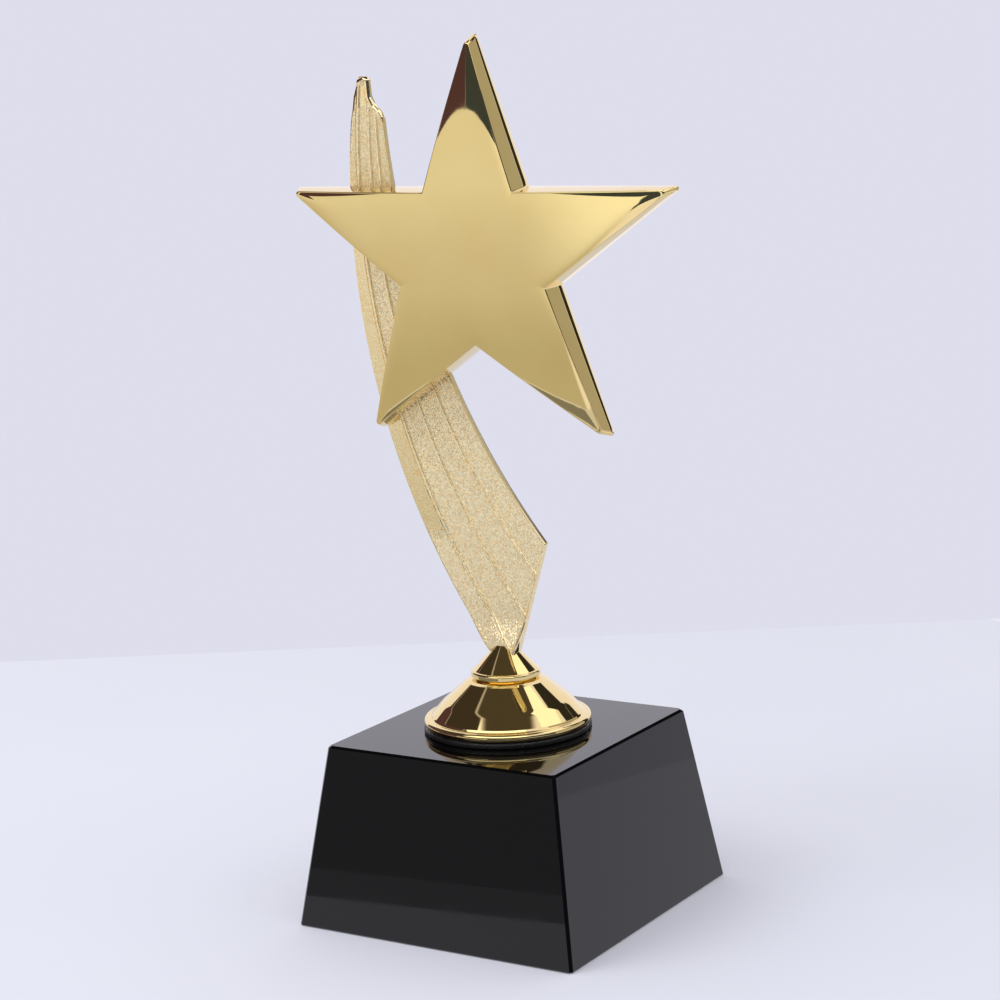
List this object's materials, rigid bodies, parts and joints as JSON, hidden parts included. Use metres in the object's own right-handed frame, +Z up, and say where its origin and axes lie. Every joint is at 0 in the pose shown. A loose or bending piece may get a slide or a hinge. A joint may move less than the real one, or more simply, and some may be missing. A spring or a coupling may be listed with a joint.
{
  "type": "star trophy",
  "caption": "Trophy with a polished gold star on a curved, banded gold ribbon over a bell foot and a black glass plinth.",
  "frame": {"origin": "centre of the plinth's underside, on the surface that the trophy stands on", "axes": "+Z up; -Y is the plinth's front face, which the star faces but for a turn of 6.3 degrees; +X is the star's right as seen from the front"},
  "size_m": [0.1026, 0.0798, 0.2205],
  "materials": {
    "polished_gold": "polished",
    "glitter_gold": "satin",
    "black_glass": "polished",
    "black_rubber": "matte",
    "plain_steel": "satin",
    "dark_felt": "matte"
  },
  "bodies": {
    "root": {"star_shell": "polished_gold", "star_back_cover": "polished_gold", "star_screw_upper": "plain_steel", "star_screw_lower": "plain_steel", "ribbon_column": "glitter_gold", "bell_foot": "polished_gold", "foot_gasket": "black_rubber", "plinth": "black_glass", "tie_rod": "plain_steel", "rubber_washer": "black_rubber", "steel_washer": "plain_steel", "spring_washer": "plain_steel", "hex_nut": "plain_steel", "felt_plug": "dark_felt"}
  },
  "joints": []
}
